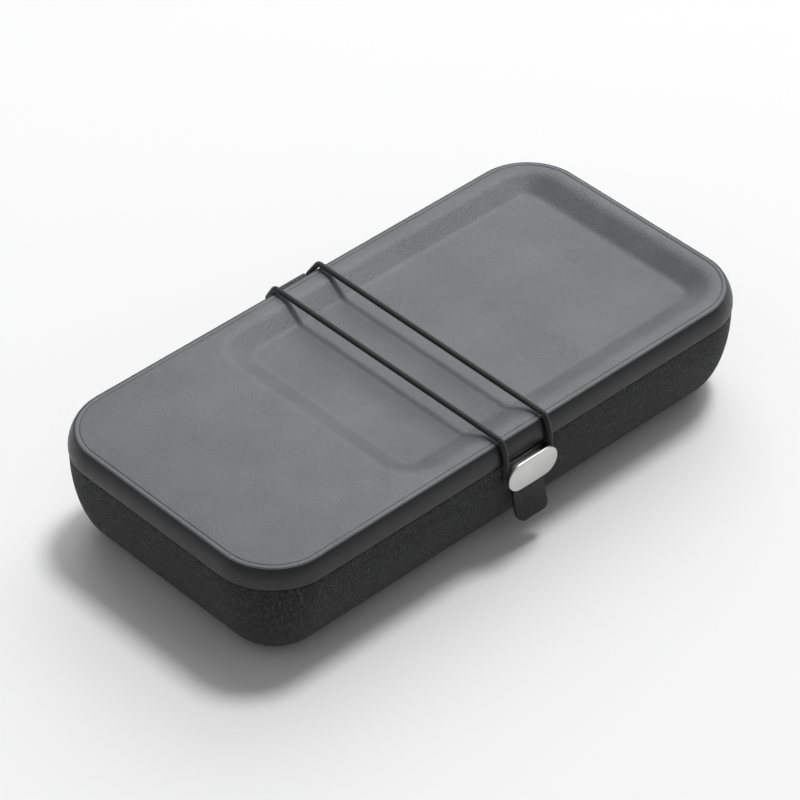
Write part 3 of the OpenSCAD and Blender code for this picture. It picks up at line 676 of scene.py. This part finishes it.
# Elastic loop
# One round braided elastic: two strands over the lid, a bight in the keeper behind and
# one round the clasp's neck in front.
route = [
    (3.5, 64.6, 38.3), (6, 64.6, 38.3), (8.2, 64.6, 38.3), (9.4, 64.6, 38.6), (10, 64.4, 39.4),
    (10.2, 63.8, 40.8), (10.6, 61.4, 44.5), (10.8, 60.1, 46.5), (10.8, 59.3, 47.3),
    (10.8, 58.2, 47.6), (10.8, 52, 47.6), (10.8, 30.55, 47.6), (10.8, 0, 47.6),
    (10.8, -30.55, 47.6), (10.8, -52, 47.6), (10.8, -58.2, 47.6), (10.8, -59.3, 47.3),
    (10.8, -60.2, 46.4), (10.8, -61.3, 44.2), (10.8, -62.1, 41.2), (10.8, -62.4, 38),
    (10.8, -62.4, 31.8), (10.1, -62.4, 29), (8.3, -62.4, 27), (6, -62.4, 26.2),
    (3, -62.4, 26.2), (0, -62.4, 26.2),
]
route += [(-x, y, z) for x, y, z in reversed(route[:-1])]


def smooth_line(points, pieces):
    """A Catmull-Rom line through points, in metres."""
    points = [Vector(point) * mm for point in points]
    line = []
    for i in range(len(points) - 1):
        before, here = points[max(i - 1, 0)], points[i]
        after, beyond = points[i + 1], points[min(i + 2, len(points) - 1)]
        span = (after - here).length
        out = (after - before).normalized() * span
        into = (beyond - here).normalized() * span
        for k in range(pieces):
            t = k / pieces
            line.append(
                here * (2 * t**3 - 3 * t**2 + 1) + out * (t**3 - 2 * t**2 + t)
                + after * (3 * t**2 - 2 * t**3) + into * (t**3 - t**2)
            )
    return line + [points[-1]]


def tube_along(mesh, line, radius, sides, flat=1.0):
    """A round tube along a line, with a UV map: turns round it, and metres along it."""
    far = mesh.verts.layers.float.new("far")
    turn = mesh.verts.layers.float.new("turn")
    ring = bmesh.ops.create_circle(mesh, cap_ends=False, segments=sides, radius=radius)["verts"]
    ring.sort(key=lambda dot: math.atan2(dot.co.y, dot.co.x))
    for i, dot in enumerate(ring):
        dot[turn] = i / sides
    heading = (line[1] - line[0]).normalized()
    stand = Matrix.Translation(line[0]) @ heading.to_track_quat("Z", "Y").to_matrix().to_4x4()
    bmesh.ops.transform(mesh, matrix=stand, verts=ring)
    edges = list({edge for dot in ring for edge in dot.link_edges})
    run = 0
    for i in range(1, len(line)):
        after = line[min(i + 1, len(line) - 1)]
        new_heading = ((after - line[i]).normalized() + (line[i] - line[i - 1]).normalized()).normalized()
        if i == len(line) - 1:
            new_heading = (line[i] - line[i - 1]).normalized()
        swing = heading.rotation_difference(new_heading).to_matrix().to_4x4()
        made = bmesh.ops.extrude_edge_only(mesh, edges=edges)["geom"]
        dots = [part for part in made if isinstance(part, bmesh.types.BMVert)]
        edges = [part for part in made if isinstance(part, bmesh.types.BMEdge)]
        move = Matrix.Translation(line[i]) @ swing @ Matrix.Translation(-line[i - 1])
        bmesh.ops.transform(mesh, matrix=move, verts=dots)
        run += (line[i] - line[i - 1]).length
        for dot in dots:
            dot[far] = run
        heading = new_heading
    uv = mesh.loops.layers.uv.new("threads")
    for face in mesh.faces:
        turns = [loop.vert[turn] for loop in face.loops]
        wraps = max(turns) - min(turns) > 0.5
        for loop in face.loops:
            place = loop.vert[turn] + (1 if wraps and loop.vert[turn] < 0.5 else 0)
            loop[uv].uv = (place, loop.vert[far])
    bmesh.ops.holes_fill(mesh, edges=[edge for edge in mesh.edges if edge.is_boundary], sides=0)


braid = Finish("braided_elastic")
round_turn = braid.uv.node("SeparateXYZ", {}, {0: braid.uv}) * (2 * math.pi * 6)
along = braid.uv.node("SeparateXYZ", {}, {0: braid.uv}, 1) * (2 * math.pi / 0.0014)
left_lay = (round_turn + along).sum("SINE", round_turn + along)
right_lay = (round_turn - along).sum("SINE", round_turn - along)
lays = left_lay.sum("MAXIMUM", left_lay, right_lay)
braid.set(
    Base_Color=lays.colours((0.2, (0.004, 0.004, 0.0042)), (0.9, (0.013, 0.013, 0.0135))),
    Roughness=0.6,
    Specular_IOR_Level=0.4,
    Sheen_Weight=0.15,
)
braid.bump(lays, 0.00009)

cord = bmesh.new()
line = smooth_line(route, 4)
tube_along(cord, line, 1.08 * mm, 20)
elastic_cord = finish_mesh(cord, "elastic_cord", braid.material, "band", 60)
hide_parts("elastic_loop")

# Pull tab
# Soft rubber moulded round the front bight. It hangs below the clasp and flares away from
# the tub, so that a finger gets behind it.
tab = bmesh.new()
tab_face = rounded_face(tab, 15.2, 14.7, 3, 0, 0, 8)
bmesh.ops.transform(tab, matrix=Matrix.Rotation(math.pi / 2, 4, "X"), verts=tab.verts)
bmesh.ops.translate(tab, verts=tab.verts, vec=(0, 0, 18.45 * mm))
for cut_z in range(12, 25):
    bmesh.ops.bisect_plane(
        tab, geom=list(tab.verts) + list(tab.edges) + list(tab.faces), dist=1e-6,
        plane_co=(0, 0, cut_z * mm), plane_no=(0, 0, 1),
    )
raised = bmesh.ops.extrude_face_region(tab, geom=list(tab.faces))["geom"]
bmesh.ops.translate(
    tab, verts=[part for part in raised if isinstance(part, bmesh.types.BMVert)], vec=(0, 1.6 * mm, 0)
)
bmesh.ops.recalc_face_normals(tab, faces=tab.faces)
rims = [edge for edge in tab.edges if len(edge.link_faces) == 2 and edge.calc_face_angle(0) > 1.2]
bmesh.ops.bevel(tab, geom=rims, offset=0.4 * mm, affect="EDGES", segments=3, profile=0.5, material=-1)
for dot in tab.verts:
    low = min(max((25.8 * mm - dot.co.z) / (14.7 * mm), 0), 1)
    dot.co.y += (-63.2 - 3.6 * low**2.2) * mm
pull_rubber = finish_mesh(tab, "pull_rubber", rubber.material, "band", 50)
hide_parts("pull_tab")
sleeve = bmesh.new()
tube_along(sleeve, [Vector((x * mm, -62.4 * mm, 26.2 * mm)) for x in (-5.2, -5, -4.6, 4.6, 5, 5.2)], 1.7 * mm, 28)
pull_sleeve = finish_mesh(sleeve, "pull_sleeve", rubber.material, "band", 50)

# Rear keeper
# A strip of dense webbing folded round the elastic's rear bight. Both ends are sewn
# together below it and screwed to the tub.
webbing = Finish("charcoal_webbing")
ribs = webbing.object.mapped((1500, 900, 900)).noise(1, 3, 0.6)
webbing.set(
    Base_Color=ribs.colours((0.35, (0.012, 0.012, 0.013)), (0.55, (0.04, 0.04, 0.042)), (0.7, (0.1, 0.1, 0.103))),
    Roughness=0.85,
    Specular_IOR_Level=0.3,
    Sheen_Weight=0.3,
)
webbing.bump(ribs, 0.0003)
strip = bmesh.new()
fold = [(61.2, 26.1), (61.2, 30), (61.25, 33.5), (61.7, 35.4)]
fold += [
    (64.6 + 1.83 * math.cos(math.radians(a)), 38.3 + 1.83 * math.sin(math.radians(a)))
    for a in range(200, -90, -18)
]
fold += [(63.4, 35.6), (62.15, 34.2), (62.0, 32.5), (62.0, 30), (62.0, 26.1)]
line = smooth_line([(0, y, z) for y, z in fold], 3)
dots = [strip.verts.new(point + Vector((-9 * mm, 0, 0))) for point in line]
edges = [strip.edges.new(pair) for pair in zip(dots, dots[1:])]
for i in range(6):
    made = bmesh.ops.extrude_edge_only(strip, edges=edges)["geom"]
    bmesh.ops.translate(
        strip, verts=[part for part in made if isinstance(part, bmesh.types.BMVert)], vec=(3 * mm, 0, 0)
    )
    edges = [part for part in made if isinstance(part, bmesh.types.BMEdge)]
rear_webbing = finish_mesh(strip, "rear_webbing", webbing.material, "base", 70)
layer = rear_webbing.modifiers.new("webbing_thickness", "SOLIDIFY")
layer.thickness = 0.74 * mm
layer.offset = 0
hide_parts("keeper_webbing")

# Lid's inner cover felt
# The same felt on the underside of the lid, with clearance round the screws.
under = bmesh.new()
under_face = rounded_face(under, 234.0, 111.2, 19.8, 0, 36.24, 14)
raised = bmesh.ops.extrude_face_region(under, geom=[under_face])["geom"]
bmesh.ops.translate(
    under, verts=[part for part in raised if isinstance(part, bmesh.types.BMVert)], vec=(0, 0, -0.75 * mm)
)
lid_felt = finish_mesh(under, "lid_felt", felt.material, "lid")
screw_spots = [(sx * 97.2 * share, sy * 53.8) for share in (0.98, 0.33) for sx in (-1, 1) for sy in (-1, 1)]
screw_spots += [(-115.2, 0), (115.2, 0)]
cut_out(lid_felt, [((x, y, 36), 1.9, 3) for x, y in screw_spots])
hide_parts("cover_felt")

# Charger
# Copper coil, ferrite disc and a foam pad that presses them up under the leather, and the
# green circuit board with its parts. Its socket opens through the back of the lid band.
mouth = bmesh.new()
pill(mouth, 9.34, 3.66, 53, 64, 40.36, 0.1)
bmesh.ops.translate(mouth, verts=mouth.verts, vec=(-74 * mm, 0, 0))
take_away(lid_band, mouth)
copper = Finish("coil_copper")
copper.set(Base_Color=rgb(0.6, 0.28, 0.12), Metallic=1.0, Roughness=0.35)
dress(copper.material, "charging_coil")
ferrite = Finish("dark_ferrite")
ferrite.set(
    Base_Color=ferrite.object.noise(300, 3).colours((0.3, (0.03, 0.03, 0.032)), (0.7, (0.05, 0.05, 0.053))),
    Roughness=0.6,
)
dress(ferrite.material, "ferrite_disc", "board_components")
foam = Finish("pale_foam")
foam.set(
    Base_Color=foam.object.cells(900).colours((0.1, (0.45, 0.45, 0.43)), (0.6, (0.7, 0.7, 0.68))),
    Roughness=0.9,
)
dress(foam.material, "coil_foam")
board_green = Finish("green_board")
board_green.set(
    Base_Color=board_green.object.noise(700, 2).colours((0.4, (0.02, 0.12, 0.05)), (0.6, (0.035, 0.18, 0.08))),
    Roughness=0.4,
)
dress(board_green.material, "circuit_board")
